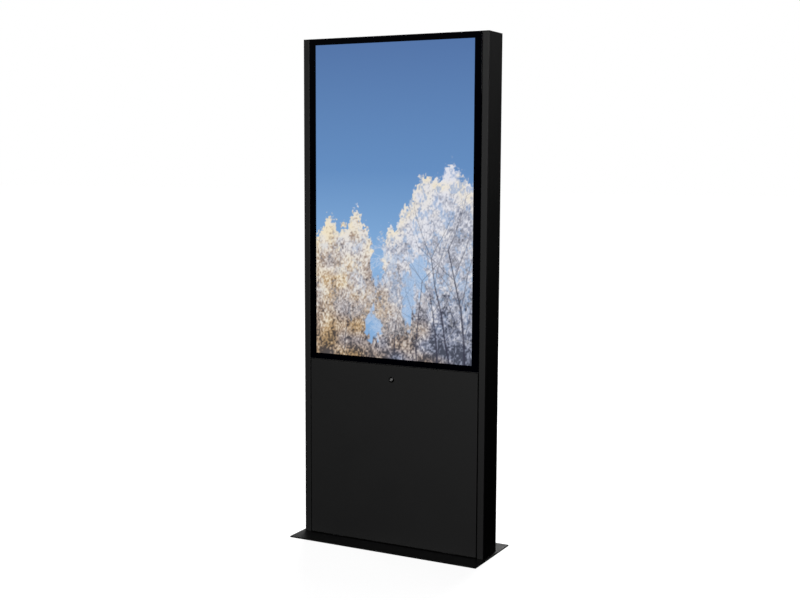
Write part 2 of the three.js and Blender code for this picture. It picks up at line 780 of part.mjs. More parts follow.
function leads() {
  const driverLow = driverBoxLow - seat;
  const y = chassisBack + seat + driverBoxDepth / 2;
  const plugOn = (x, z) => block([x - 14, x + 14], [barFront - seat - 22, barFront - seat], [z - 12, z + 12]);
  const barMiddle = (barZ[0] + barZ[1]) / 2;
  const displayPoints = [
    [-100, y, driverLow],
    [-100, y, driverLow - 60],
    [-115, y + 6, 800],
    [-135, -8, 640],
    [-150, -10, 480],
    [-160, -14, 340],
    [-160, barFront - 14, barMiddle + 8],
  ];
  lead("display_lead", displayPoints, 3.5, plugOn(-160, barMiddle));
  const top = playerZ[1] + seat;
  const playerY = playerFront + playerDepth / 2;
  const videoPlug = block([92, 112], [playerY - 5, playerY + 5], [top, top + 26]);
  const videoPoints = [
    [60, y, driverLow],
    [60, y, driverLow - 60],
    [64, y + 6, 800],
    [90, -2, 640],
    [102, playerY, 560],
    [102, playerY, top + 20],
  ];
  lead("video_lead", videoPoints, 3, videoPlug);
  const touchPlug = block([152, 166], [playerY - 3.5, playerY + 3.5], [top, top + 20]);
  const touchPoints = [
    [controllerWidth / 2 + seat, y, controllerMiddle],
    [90, y, controllerMiddle],
    [150, y, imageMiddle + 60],
    [167, y, imageMiddle],
    [167, y, imageMiddle - 300],
    [167, y + 4, 800],
    [161, -2, 640],
    [159, playerY, 560],
    [159, playerY, top + 14],
  ];
  lead("touch_lead", touchPoints, 2, touchPlug);
  const mainsPoints = [
    [inletFromMiddle, rear - inletDepth - 1, inletHeight],
    [inletFromMiddle, 14, inletHeight],
    [inletFromMiddle - 50, -6, inletHeight],
    [120, -10, 150],
    [40, -6, 225],
    [barX[1] + 14, barFront + 19, barMiddle],
  ];
  const boot = block([barX[1] + seat, barX[1] + 22], [barFront + 10, barFront + 28], [barMiddle - 9, barMiddle + 9]);
  lead("mains_lead", mainsPoints, 4, boot);
}

basePlate();
pillars();
topCap();
headerRail();
midRail();
crossRails();
touchGlass();
glassBars();
display();
vesaRails();
serviceDoor();
doorStiffeners();
doorHinge("left", -hingeFromMiddle);
doorHinge("right", hingeFromMiddle);
doorLock();
coverStrips();
rearCovers();
for (const [name, x, z] of screwPlaces()) {
  coverScrew(name, x, z);
}
fan("left", -fanFromMiddle);
fan("right", fanFromMiddle);
equipmentPlate();
mediaPlayer();
powerStrip();
mainsInlet();
leads();

export default group;
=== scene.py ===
# A floor-standing portrait touchscreen kiosk in black powder-coated steel, put together from its plate up.
import math
from random import Random

import bmesh
import bpy
import numpy as np
from mathutils import Matrix, Vector


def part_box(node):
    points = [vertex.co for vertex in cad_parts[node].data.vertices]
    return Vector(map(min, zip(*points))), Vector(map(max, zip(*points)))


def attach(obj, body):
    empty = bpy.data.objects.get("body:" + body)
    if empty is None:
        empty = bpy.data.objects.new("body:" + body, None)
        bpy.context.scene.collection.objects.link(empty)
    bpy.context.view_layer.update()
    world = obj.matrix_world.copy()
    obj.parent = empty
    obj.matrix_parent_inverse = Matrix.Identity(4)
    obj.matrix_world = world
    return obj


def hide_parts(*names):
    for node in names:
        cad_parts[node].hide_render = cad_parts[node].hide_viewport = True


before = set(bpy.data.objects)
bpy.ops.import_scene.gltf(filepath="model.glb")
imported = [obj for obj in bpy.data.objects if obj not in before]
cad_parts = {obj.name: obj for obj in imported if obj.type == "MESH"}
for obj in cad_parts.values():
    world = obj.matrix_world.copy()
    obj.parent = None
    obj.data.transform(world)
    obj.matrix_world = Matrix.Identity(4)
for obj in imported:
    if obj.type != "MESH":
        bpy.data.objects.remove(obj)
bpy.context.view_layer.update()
scene = bpy.context.scene
scene.view_settings.view_transform = "Standard"


# ---- Camera ----
# It stands to the right of the kiosk at eye height, a little over four metres away, and looks
# slightly down, so that the front and the right-hand side show.
def place_camera():
    turn = math.radians(27.78)
    dip = math.radians(6.263)
    roll = math.radians(0.255)
    ahead = Vector((-math.sin(turn) * math.cos(dip), math.cos(turn) * math.cos(dip), -math.sin(dip)))
    level = Vector((math.cos(turn), math.sin(turn), 0))
    upright = level.cross(ahead)
    right = math.cos(roll) * level + math.sin(roll) * upright
    up = math.cos(roll) * upright - math.sin(roll) * level
    camera = bpy.data.objects.new("camera", bpy.data.cameras.new("camera"))
    camera.data.lens = 55.07
    camera.data.sensor_width = 36
    axes = Matrix((right, up, -ahead)).transposed().to_4x4()
    camera.matrix_world = Matrix.Translation((2.2165, -4.201, 1.4907)) @ axes
    scene.collection.objects.link(camera)
    scene.camera = camera


place_camera()


# ---- Base plate ----
# One laser-cut slab of 5 mm steel that the whole kiosk is welded to. Its edges are broken by
# hand before it gets the same powder coat, which lies smoother on thick plate. Its colour is painted
# several times darker than the body's coat, as painted shade for the body's shadow and dark reflection on it.
class Wire:
    """A socket of one finish's nodes. Sums on it add Math nodes to that finish."""

    def __init__(self, finish, socket):
        self.finish = finish
        self.socket = socket

    def sum(self, operation, *values):
        return self.finish.node("Math", {"operation": operation}, dict(enumerate(values)))

    def __add__(self, other):
        return self.sum("ADD", self, other)

    __radd__ = __add__

    def __mul__(self, other):
        return self.sum("MULTIPLY", self, other)

    __rmul__ = __mul__


class Finish:
    """One material, with its Principled shader and the nodes that feed it."""

    def __init__(self, name, **constants):
        self.material = bpy.data.materials.new(name)
        self.material.use_nodes = True
        self.tree = self.material.node_tree
        self.shader = self.tree.nodes["Principled BSDF"]
        self.set(**constants)

    def node(self, kind, settings=None, sockets=None, out=0):
        made = self.tree.nodes.new("ShaderNode" + kind)
        for key, value in (settings or {}).items():
            setattr(made, key, value)
        for key, value in (sockets or {}).items():
            self.feed(made.inputs[key], value)
        return Wire(self, made.outputs[out])

    def feed(self, socket, value):
        if isinstance(value, Wire):
            self.tree.links.new(value.socket, socket)
        elif socket.type == "RGBA":
            socket.default_value = (*value[:3], 1)
        else:
            socket.default_value = value

    def set(self, **inputs):
        for key, value in inputs.items():
            self.feed(self.shader.inputs[key.replace("_", " ")], value)

    def place(self):
        return self.node("TexCoord", out="Object")

    def noise(self, scale, detail=2.0, rough=0.5):
        sockets = {"Vector": self.place(), "Scale": scale, "Detail": detail, "Roughness": rough}
        return self.node("TexNoise", None, sockets)

    def between(self, value, low, high, to_low=0.0, to_high=1.0):
        sockets = {0: value, 1: low, 2: high, 3: to_low, 4: to_high}
        return self.node("MapRange", None, sockets)

    def mix(self, share, first, second):
        sockets = {0: share, 6: first, 7: second}
        return self.node("Mix", {"data_type": "RGBA"}, sockets, out=2)

    def bump(self, height, distance, strength=1.0):
        sockets = {"Height": height, "Distance": distance, "Strength": strength}
        self.set(Normal=self.node("Bump", None, sockets))


def made(name, mesh, finish, body="frame", stands_for=(), slot=None, smooth=30):
    """Puts a finished mesh into the scene as one piece of the kiosk."""
    piece = bpy.data.objects.new(name, mesh)
    scene.collection.objects.link(piece)
    mesh.materials.clear()
    mesh.materials.append(finish.material)
    if smooth:
        mesh.shade_smooth()
        mesh.set_sharp_from_angle(angle=math.radians(smooth))
        even = piece.modifiers.new("even_shading", "WEIGHTED_NORMAL")
        even.weight = 100
        even.keep_sharp = True
    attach(piece, body)
    if stands_for:
        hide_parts(*stands_for)


def weld(mesh):
    """Joins the points of a mesh that lie on each other, and turns its faces outwards."""
    work = bmesh.new()
    work.from_mesh(mesh)
    bmesh.ops.remove_doubles(work, verts=work.verts, dist=1e-6)
    bmesh.ops.recalc_face_normals(work, faces=work.faces)
    work.to_mesh(mesh)
    work.free()
    return mesh


# How flat stock lies: a drawing's two axes and its thickness as axes of the kiosk.
LYING = Matrix(((1, 0, 0), (0, 1, 0), (0, 0, 1))).to_4x4()
STANDING = Matrix(((1, 0, 0), (0, 0, -1), (0, 1, 0))).to_4x4()
EDGEWISE = Matrix(((0, 0, 1), (1, 0, 0), (0, 1, 0))).to_4x4()


def rounded(low, high, radius=0.0, steps=6):
    """The corners of a rectangle, each an arc if it has a radius."""
    corners = [(high[0], high[1], 0), (low[0], high[1], 90), (low[0], low[1], 180), (high[0], low[1], 270)]
    if not radius:
        return [corner[:2] for corner in corners]
    points = []
    for x, y, start in corners:
        middle = (x - math.copysign(radius, x - (low[0] + high[0]) / 2),
                  y - math.copysign(radius, y - (low[1] + high[1]) / 2))
        for k in range(steps + 1):
            angle = math.radians(start + 90 * k / steps)
            points.append((middle[0] + radius * math.cos(angle), middle[1] + radius * math.sin(angle)))
    return points


def ring(middle, radius, steps=32):
    turn = [2 * math.pi * k / steps for k in range(steps)]
    return [(middle[0] + radius * math.cos(a), middle[1] + radius * math.sin(a)) for a in turn]


def slot_hole(middle, length, width):
    low = (middle[0] - length / 2, middle[1] - width / 2)
    high = (middle[0] + length / 2, middle[1] + width / 2)
    nearly_round = 0.999
    return rounded(low, high, width / 2 * nearly_round, 7)


def cut_sheet(outline, holes, low, high, edge, lie=LYING):
    """Flat stock cut to an outline with holes, every edge broken by a small round."""
    drawing = bpy.data.curves.new("drawing", "CURVE")
    drawing.dimensions = "2D"
    drawing.fill_mode = "BOTH"
    for points in [outline, *holes]:
        spline = drawing.splines.new("POLY")
        spline.points.add(len(points) - 1)
        for point, (x, y) in zip(spline.points, points):
            point.co = (x, y, 0, 1)
        spline.use_cyclic_u = True
    drawing.extrude = (high - low) / 2 - edge
    drawing.bevel_depth = edge
    drawing.bevel_resolution = 2
    drawing.offset = -edge
    holder = bpy.data.objects.new("drawing", drawing)
    mesh = bpy.data.meshes.new_from_object(holder)
    bpy.data.objects.remove(holder)
    mesh.transform(lie @ Matrix.Translation((0, 0, (low + high) / 2)))
    return weld(mesh)


def plate_coat():
    """Smooth black powder coat on thick plate, with the fine grain of the steel showing through."""
    coat = Finish("plate_coat", Specular_IOR_Level=0.5)
    grain = coat.noise(900, 3, 0.6)
    cloud = coat.noise(14, 4)
    # Painted shade: the base colour, 0.002 to 0.004, is several times darker than the body's coat, standing
    # in for the body's shadow and its dark reflection on the plate.
    coat.set(Base_Color=coat.mix(cloud, (0.002, 0.002, 0.0022), (0.004, 0.004, 0.0042)))
    coat.set(Roughness=coat.between(grain + cloud * 0.6, 0.4, 1.2, 0.26, 0.44))
    coat.bump(grain, 0.00025, 0.5)
    return coat


def base_plate():
    low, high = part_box("base_plate")
    anchor_x, anchor_y, anchor_radius = 0.33, 0.035, 0.006
    cable_y, cable_radius = 0.020, 0.030
    corner, broken_edge = 0.0015, 0.0008
    anchors = [ring((x, y), anchor_radius) for x in (-anchor_x, anchor_x) for y in (-anchor_y, anchor_y)]
    cable_way = ring((0, cable_y), cable_radius, 48)
    slab = cut_sheet(rounded(low, high, corner, 3), [*anchors, cable_way], low.z, high.z, broken_edge)
    made("base_slab", slab, plate_coat(), stands_for=["base_plate"], slot="plate_steel")


base_plate()


# ---- Side pillars ----
# Each side of the kiosk is one piece of 2 mm sheet, bent three times on a press brake into a deep
# channel: a return that the glass hooks to, the front flange, the flat side and the rear flange.
def folded(points, sheet, steps=8):
    """The outline of bent sheet round a centre line of (a, b, bend radius) points."""
    line = []
    spots = [Vector(point[:2]) for point in points]
    ways = [(after - before).normalized() for before, after in zip(spots, spots[1:])]
    line.append((spots[0], ways[0]))
    for spot, into, out, point in zip(spots[1:], ways, ways[1:], points[1:]):
        turn = math.atan2(into.x * out.y - into.y * out.x, into.dot(out))
        radius = point[2]
        start = spot - into * radius * math.tan(abs(turn) / 2)
        middle = start + Vector((-into.y, into.x)) * math.copysign(radius, turn)
        for k in range(steps + 1):
            spin = Matrix.Rotation(turn * k / steps, 2)
            line.append((middle + spin @ (start - middle), spin @ into))
    line.append((spots[-1], ways[-1]))
    side = [Vector((-way.y, way.x)) * sheet / 2 for _, way in line]
    left = [spot + off for (spot, _), off in zip(line, side)]
    right = [spot - off for (spot, _), off in zip(line, side)]
    return [tuple(point) for point in left + right[::-1]]


def pulled(outline, low, high, lie=LYING, edge=0.0002):
    """A bar of one section from low to high, the rims of its two ends broken by a small bevel."""
    work = bmesh.new()
    feet = [work.verts.new((x, y, low)) for x, y in outline]
    tops = [work.verts.new((x, y, high)) for x, y in outline]
    ends = [work.faces.new(feet[::-1]), work.faces.new(tops)]
    for k in range(len(outline)):
        after = (k + 1) % len(outline)
        work.faces.new((feet[k], feet[after], tops[after], tops[k]))
    bmesh.ops.recalc_face_normals(work, faces=work.faces)
    if edge:
        rims = {rim for end in ends for rim in end.edges}
        bmesh.ops.bevel(work, geom=list(rims), offset=edge, segments=2, profile=0.5, affect="EDGES",
                        clamp_overlap=True)
    mesh = bpy.data.meshes.new("bar")
    work.to_mesh(mesh)
    work.free()
    mesh.transform(lie)
    return mesh


def powder_coat():
    """Matt black powder coat with a fine leathery texture, its tone and shine varying in faint clouds."""
    coat = Finish("powder_black", Specular_IOR_Level=0.5)
    skin = coat.noise(1300, 2, 0.55)
    lumps = coat.noise(420, 1)
    cloud = coat.noise(6, 5, 0.6)
    coat.set(Base_Color=coat.mix(cloud, (0.0105, 0.0105, 0.0108), (0.0125, 0.0125, 0.0127)))
    coat.set(Roughness=coat.between(skin * 0.5 + cloud * 0.5, 0.3, 0.7, 0.52, 0.62))
    coat.bump(skin + lumps * 0.6, 0.00012, 0.7)
    return coat


black_coat = powder_coat()


def side_pillars():
    sheet = 0.002
    bend = 0.0025
    low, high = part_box("side_pillar_right")
    middle = sheet / 2
    hooked_return = 0.017
    rear_flange = 0.026
    section = [
        (low.x + middle, low.y + hooked_return),
        (low.x + middle, low.y + middle, bend),
        (high.x - middle, low.y + middle, bend),
        (high.x - middle, high.y - middle, bend),
        (high.x - rear_flange, high.y - middle),
    ]
    mirrored = [(-point[0], *point[1:]) for point in section]
    for side, points in (("right", section), ("left", mirrored)):
        name = "side_pillar_" + side
        channel = pulled(folded(points, sheet), low.z, high.z)
        made("pillar_" + side, channel, black_coat, stands_for=[name], slot="powder_black")


side_pillars()


# ---- Top cap ----
# A flat 2 mm lid welded along both pillars, its seam dressed flush before coating, so that only
# a hairline shows where it meets them.
def top_cap():
    low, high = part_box("top_cap")
    lid = cut_sheet(rounded(low, high, 0.003), [], low.z, high.z, 0.0006)
    made("cap_lid", lid, black_coat, stands_for=["top_cap"], slot="powder_black")


top_cap()


# ---- Inner steel ----
# The rails that tie the pillars together, the strips that the rear covers screw to, and the
# display's hanging rails: bent or cut stock, zinc plated or painted, out of sight behind the skins.
def dress(node, finish, edge=0.0003):
    """Keeps a piece as it was designed and gives it broken edges and a real finish."""
    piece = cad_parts[node]
    piece.data.materials.clear()
    piece.data.materials.append(finish.material)
    welded = piece.modifiers.new("welded", "WELD")
    welded.merge_threshold = 0.00002
    bevel = piece.modifiers.new("edges", "BEVEL")
    bevel.width = edge
    bevel.segments = 2
    bevel.limit_method = "ANGLE"
    bevel.angle_limit = math.radians(40)
    bevel.use_clamp_overlap = True


def painted_steel():
    """Satin black paint on inner steelwork, a little dusty in random patches."""
    paint = Finish("inner_paint", Specular_IOR_Level=0.5)
    dust = paint.noise(30, 5, 0.65)
    dusty = paint.between(dust, 0.45, 0.8)
    paint.set(Base_Color=paint.mix(dusty, (0.016, 0.016, 0.017), (0.035, 0.034, 0.032)))
    paint.set(Roughness=paint.between(dust, 0.3, 0.7, 0.4, 0.7))
    paint.bump(paint.noise(700, 3), 0.0001, 0.5)
    return paint


def zinc_plate():
    """Bright zinc plating with its faint cloudy spangle and the fine lines of rolled sheet."""
    zinc = Finish("zinc_plate", Metallic=1.0)
    cells = zinc.node("TexVoronoi", None, {"Vector": zinc.place(), "Scale": 130.0}, out="Color")
    grey = zinc.node("RGBToBW", None, {"Color": cells})
    rolled = zinc.node("TexNoise", None, {
        "Vector": zinc.node("Mapping", None, {"Vector": zinc.place(), "Scale": (1, 1, 60)}),
        "Scale": 20.0, "Detail": 3.0,
    })
    zinc.set(Base_Color=zinc.mix(grey, (0.44, 0.45, 0.46), (0.56, 0.57, 0.58)))
    zinc.set(Roughness=zinc.between(grey + rolled, 0.4, 1.5, 0.28, 0.5))
    zinc.bump(rolled, 0.00008, 0.4)
    return zinc


inner_paint = painted_steel()
zinc = zinc_plate()
for rail in ("header_rail", "mid_rail", "upper_cross_rail", "lower_cross_rail", "display_chassis"):
    dress(rail, inner_paint)
dress("driver_board_cover", zinc)
for side in ("left", "right"):
    dress("cover_strip_" + side, zinc)
    dress("vesa_rail_" + side, zinc)
    dress(f"vesa_bolt_{side}_lower", zinc)
    dress(f"vesa_bolt_{side}_upper", zinc)


# ---- Screen ----
# A sheet of 4 mm toughened glass, printed black round the edge on its inner face and bonded to
# the display, so that the lit picture lies at its surface. Polished edges, faint finger marks.
def screen_glass():
    glass = Finish("screen_glass", Base_Color=(0.0004, 0.0006, 0.0026), IOR=1.45, Coat_Roughness=0.02)
    marks = glass.noise(9, 6, 0.7)
    touched = glass.between(marks, 0.52, 0.72)
    glass.set(Roughness=glass.between(touched, 0, 1, 0.04, 0.11))
    return glass


def touch_glass():
    low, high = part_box("touch_glass")
    outline = rounded((low.x, low.z), (high.x, high.z), 0.0012, 4)
    sheet = cut_sheet(outline, [], -high.y, -low.y, 0.0004, STANDING)
    made("screen_glass", sheet, screen_glass(), stands_for=["touch_glass"], slot="screen_glass")


touch_glass()


# ---- Lit picture ----
# What the display shows: a winter scene of frosted trees under a blue sky, drawn here stroke by
# stroke and held as colours at the points of a fine sheet the size of the display's lit area.
def lumps(across, height, size, seed, stretch=1.0):
    """Smooth noise from 0 to 1 with lumps of the given size, drawn out upwards by stretch."""
    u, v = across / size + 0 * height, height / size / stretch + 0 * across
    grid = np.random.RandomState(seed).rand(int(v.max()) + 3, int(u.max()) + 3)
    column, row = u.astype(int), v.astype(int)
    u, v = u - column, v - row
    u, v = u * u * (3 - 2 * u), v * v * (3 - 2 * v)
    below = grid[row, column] * (1 - u) + grid[row, column + 1] * u
    above = grid[row + 1, column] * (1 - u) + grid[row + 1, column + 1] * u
    return below * (1 - v) + above * v


def linear(red, green, blue):
    """A screen colour of 0 to 255 as light."""
    return ((np.array((red, green, blue)) / 255 + 0.055) / 1.055) ** 2.4


def laid(under, colour, share):
    return under + (colour - under) * share[..., None]


def stroke(layer, across, height, start, end, width, strength):
    """One soft straight line, added to a layer of cover."""
    cell = across[0, 1] - across[0, 0]
    reach = width / 2 + cell
    near = np.minimum(start, end) - reach
    far = np.maximum(start, end) + reach
    first, last = np.searchsorted(across[0], (near[0], far[0]))
    under, over = np.searchsorted(height[:, 0], (near[1], far[1]))
    if first == last or under == over:
        return
    x, z = across[:, first:last], height[under:over]
    run, rise = end[0] - start[0], end[1] - start[1]
    share = np.clip(((x - start[0]) * run + (z - start[1]) * rise) / (run * run + rise * rise), 0, 1)
    away = np.hypot(x - start[0] - share * run, z - start[1] - share * rise)
    part = layer[under:over, first:last]
    np.maximum(part, np.clip((width / 2 - away) / cell + 0.5, 0, 1) * strength, out=part)


def limb(layers, across, height, place, angle, length, width, order, chance):
    """A limb of four bent lengths with smaller limbs off it; the outer twigs carry frost."""
    wood, frost = layers
    for part in range(4):
        angle += chance.uniform(-0.14, 0.14)
        end = (place[0] + math.sin(angle) * length / 4, place[1] + math.cos(angle) * length / 4)
        if order < 3:
            stroke(wood, across, height, place, end, width * (1 - 0.15 * part), 1.0 - 0.2 * order)
        if order >= 2:
            stroke(frost, across, height, place, end, 0.0025, chance.uniform(0.3, 0.9))
        place = end
        for way in (-1, 1):
            if order < 4 and chance.random() < 0.7:
                turned = angle + way * chance.uniform(0.3, 0.8)
                shorter = length * chance.uniform(0.42, 0.6)
                limb(layers, across, height, place, turned, shorter, width * 0.5, order + 1, chance)


def winter_scene(across, height, wide, tall):
    """Frosted trees under a clear sky, as the light of each point of the picture."""
    x, z = across / wide + 0 * height, height / tall + 0 * across

    def noise(size, seed, stretch=1.0):
        return lumps(across, height, size, seed, stretch)

    plain = 0 * x[..., None]
    picture = laid(linear(134, 176, 220) + plain, linear(101, 142, 193), np.clip((z - 0.3) / 0.3, 0, 1))
    picture = laid(picture, linear(84, 117, 168), np.clip((z - 0.6) / 0.4, 0, 1))

    # Crowns: each tree stands at a place, as high as its top, and falls away over half its width.
    trees = (
        (0.00, 0.39, 0.09), (0.09, 0.445, 0.07), (0.19, 0.425, 0.06), (0.265, 0.47, 0.055),
        (0.32, 0.43, 0.05), (0.43, 0.40, 0.05), (0.50, 0.42, 0.06), (0.585, 0.49, 0.055),
        (0.65, 0.53, 0.05), (0.71, 0.595, 0.065), (0.79, 0.585, 0.06), (0.865, 0.625, 0.065),
        (0.94, 0.585, 0.07), (1.02, 0.57, 0.07),
    )
    skyline = np.max([top - 0.05 * (abs(x - place) / half) ** 2.0 for place, top, half in trees], axis=0)
    ragged = ((0.026, 0.030, 1), (0.034, 0.012, 2), (0.03, 0.0055, 3))
    broken = sum(amount * (noise(size, seed) - 0.5) for amount, size, seed in ragged)
    depth = skyline + broken - z
    cover = np.clip(depth / 0.012, 0, 1)

    # Sky that shows between the crowns.
    for place, middle, half, rise in ((0.405, 0.315, 0.030, 0.065), (0.67, 0.275, 0.045, 0.050),
                                      (0.605, 0.205, 0.035, 0.065), (0.375, 0.105, 0.040, 0.040)):
        away = np.hypot((x - place) / half, (z - middle) / rise)
        cover *= np.clip((away - 1.0 + 1.3 * (noise(0.010, 5, 1.6) - 0.5)) / 0.45, 0.06, 1)
    airy = np.clip((noise(0.022, 6, 1.5) + 0.8 * noise(0.006, 7, 1.5) - 0.98) / 0.25, 0, 1)
    airy *= np.clip(x * 1.5, 0.3, 1)
    cover *= 1 - 0.6 * airy * np.clip((z - 0.08) / 0.2, 0, 1)

    # Frost and twigs: from dark wood through grey and tan to cream and white.
    fine = 0.40 * noise(0.0048, 8, 1.2) + 0.30 * noise(0.008, 9, 1.4) + 0.30 * noise(0.040, 10, 1.2)
    rim = np.clip(1 - depth / 0.12, 0, 1)
    shade = 0.26 * np.clip(1 - z / 0.18, 0, 1)
    shade += 0.13 * np.clip((x - 0.7) / 0.25, 0, 1) * np.clip((0.5 - z) / 0.2, 0, 1)
    light = np.clip((fine - 0.5) * 1.6 + 0.51 + 0.30 * rim + 0.55 * (z - 0.20) - shade, 0, 1)
    warm = np.clip(1.25 - 1.5 * x - 1.2 * z + 1.0 * (noise(0.06, 11) - 0.5), 0, 1)
    dark = laid(linear(74, 78, 92) + plain, linear(84, 74, 66), warm)
    middle = laid(linear(146, 152, 172) + plain, linear(184, 154, 116), warm)
    cream = np.clip(0.8 * warm + 0.9 * noise(0.035, 12) * (0.4 + rim) - 0.1, 0, 1)
    bright = laid(linear(222, 224, 234) + plain, linear(238, 226, 200), cream)
    twigs = laid(dark, middle, np.clip(light / 0.40, 0, 1))
    twigs = laid(twigs, bright, np.clip((light - 0.40) / 0.45, 0, 1))
    picture = laid(picture, twigs, cover)

    # Limbs and trunks in front, the outer twigs white.
    wood, frost = np.zeros_like(x), np.zeros_like(x)
    chance = Random(11)
    trunks = (
        (0.66, -0.02, 0.40, -0.03, 0.0065), (0.87, -0.02, 0.52, -0.10, 0.0085),
        (0.79, -0.02, 0.34, -0.02, 0.0075), (0.96, -0.02, 0.56, -0.12, 0.0095),
        (0.52, 0.02, 0.25, 0.05, 0.005), (0.19, 0.02, 0.30, 0.02, 0.004),
    )
    for place, foot, top, lean, width in trunks:
        length = (top - foot) * tall * 0.66
        limb((wood, frost), across, height, (place * wide, foot * tall), lean, length, width, 0, chance)
    picture = laid(picture, linear(238, 238, 242), 0.40 * frost * np.clip((depth + 0.01) / 0.02, 0, 1))
    picture = laid(picture, linear(60, 60, 76), 0.85 * wood ** 1.5 * np.clip(depth / 0.05, 0, 1))
    return np.clip(picture, 0, 1)


def lit_picture():
    low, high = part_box("display_panel")
    glass_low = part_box("touch_glass")[0]
    border = 0.0128
    left, bottom = low.x + border, low.z + border
    wide, tall = high.x - low.x - 2 * border, high.z - low.z - 2 * border
    cell, treetops, sky_rows = 0.0026, 0.66 * tall, 40
    columns = round(wide / cell)
    across = np.arange(columns + 1)[None, :] / columns * wide
    wooded = np.arange(0, treetops, cell)
    height = np.append(wooded, np.linspace(treetops + cell, tall, sky_rows))[:, None]
    rows = len(height) - 1

    colours = np.ones((rows + 1, columns + 1, 4))
    colours[..., :3] = winter_scene(across, height, wide, tall)

    face = glass_low.y - 0.0001
    points = np.empty((rows + 1, columns + 1, 3))
    points[..., 0] = left + across
    points[..., 1] = face
    points[..., 2] = bottom + height
    corner = (np.arange(rows)[:, None] * (columns + 1) + np.arange(columns)[None, :]).ravel()
    quads = np.stack((corner, corner + 1, corner + columns + 2, corner + columns + 1), 1)
    mesh = bpy.data.meshes.new("lit_picture")
    mesh.from_pydata(points.reshape(-1, 3), [], quads.tolist())
    mesh.color_attributes.new("picture", "FLOAT_COLOR", "POINT").data.foreach_set("color", colours.ravel())
    lit = Finish("lit_picture", Base_Color=(0, 0, 0), Roughness=0.05, Emission_Strength=1.0)
    shown = lit.node("Attribute", {"attribute_name": "picture"}, out="Color")
    lit.set(Emission_Color=shown)
    made("lit_picture", mesh, lit, slot="screen_glass", smooth=0)


lit_picture()


# ---- Glass bars and display ----
# Two drawn aluminium bars, bonded behind the glass's long edges, hook it to the pillars. The
# display behind it is a bought panel in a satin black frame, with a small touch controller board.
def mill_aluminium():
    """Drawn aluminium with die lines along its length."""
    metal = Finish("mill_aluminium", Metallic=1.0)
    lines = metal.node("TexNoise", None, {
        "Vector": metal.node("Mapping", None, {"Vector": metal.place(), "Scale": (900, 900, 4)}),
        "Scale": 1.0, "Detail": 3.0,
    })
    metal.set(Base_Color=metal.mix(lines, (0.52, 0.53, 0.54), (0.64, 0.65, 0.66)))
    metal.set(Roughness=metal.between(lines, 0.3, 0.7, 0.25, 0.42))
    metal.bump(lines, 0.00005, 0.5)
    return metal


def moulded_plastic(name, dark, light):
    """Moulded plastic with a spark-eroded grain and a little handling shine."""
    plastic = Finish(name, Specular_IOR_Level=0.45)
    cloud = plastic.noise(9, 4, 0.6)
    plastic.set(Base_Color=plastic.mix(cloud, dark, light))
    plastic.set(Roughness=plastic.between(cloud, 0.35, 0.7, 0.42, 0.6))
    plastic.bump(plastic.noise(1600, 2), 0.00008, 0.6)
    return plastic


aluminium = mill_aluminium()
black_plastic = moulded_plastic("black_plastic", (0.013, 0.013, 0.014), (0.022, 0.022, 0.023))
grey_plastic = moulded_plastic("grey_plastic", (0.07, 0.07, 0.075), (0.10, 0.10, 0.105))
for side in ("left", "right"):
    dress("glass_bar_" + side, aluminium, 0.0005)
dress("display_panel", black_plastic, 0.0008)
dress("touch_controller", black_plastic, 0.0006)


# ---- Service door ----
# A pan of 1.5 mm sheet: a flat face, four folded sides and a lip turned in behind them, with a
# punched hole for the lock and two notches at the bottom that clear the hinges.
def lofted(hoops, closed=False):
    """A skin over a row of hoops of points, with flat ends unless the row closes on itself."""
    work = bmesh.new()
    rows = [[work.verts.new(point) for point in hoop] for hoop in hoops]
    pairs = list(zip(rows, rows[1:]))
    if closed:
        pairs.append((rows[-1], rows[0]))
    else:
        for end in (rows[0], rows[-1]):
            if len(end) > 2:
                work.faces.new(end)
    for first, second in pairs:
        count = max(len(first), len(second))
        for k in range(count):
            after = (k + 1) % count
            corners = (first[k % len(first)], first[after % len(first)],
                       second[after % len(second)], second[k % len(second)])
            work.faces.new(list(dict.fromkeys(corners)))
    bmesh.ops.recalc_face_normals(work, faces=work.faces)
    mesh = bpy.data.meshes.new("skin")
    work.to_mesh(mesh)
    work.free()
    return mesh


def slab(low, high, radius=0.0, edge=0.0):
    """A block between two corners, rounded at its four long edges and broken round both faces."""
    outline = rounded((low[0], low[2]), (high[0], high[2]), radius, 5)
    return pulled(outline, -high[1], -low[1], STANDING, edge)


def carved(mesh, *tools):
    """Cuts closed meshes out of a mesh."""
    helpers = [bpy.data.objects.new("carved", shape) for shape in (mesh, *tools)]
    for helper in helpers:
        scene.collection.objects.link(helper)
    for helper in helpers[1:]:
        cut = helpers[0].modifiers.new("cut", "BOOLEAN")
        cut.operation = "DIFFERENCE"
        cut.solver = "EXACT"
        cut.object = helper
    graph = bpy.context.evaluated_depsgraph_get()
    done = bpy.data.meshes.new_from_object(helpers[0].evaluated_get(graph))
    for helper in helpers:
        bpy.data.objects.remove(helper)
    return done


def joined(*meshes):
    """Several meshes as one."""
    work = bmesh.new()
    for mesh in meshes:
        work.from_mesh(mesh)
    whole = bpy.data.meshes.new("whole")
    work.to_mesh(whole)
    work.free()
    return whole


def middle_of(node):
    low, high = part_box(node)
    return (low + high) / 2


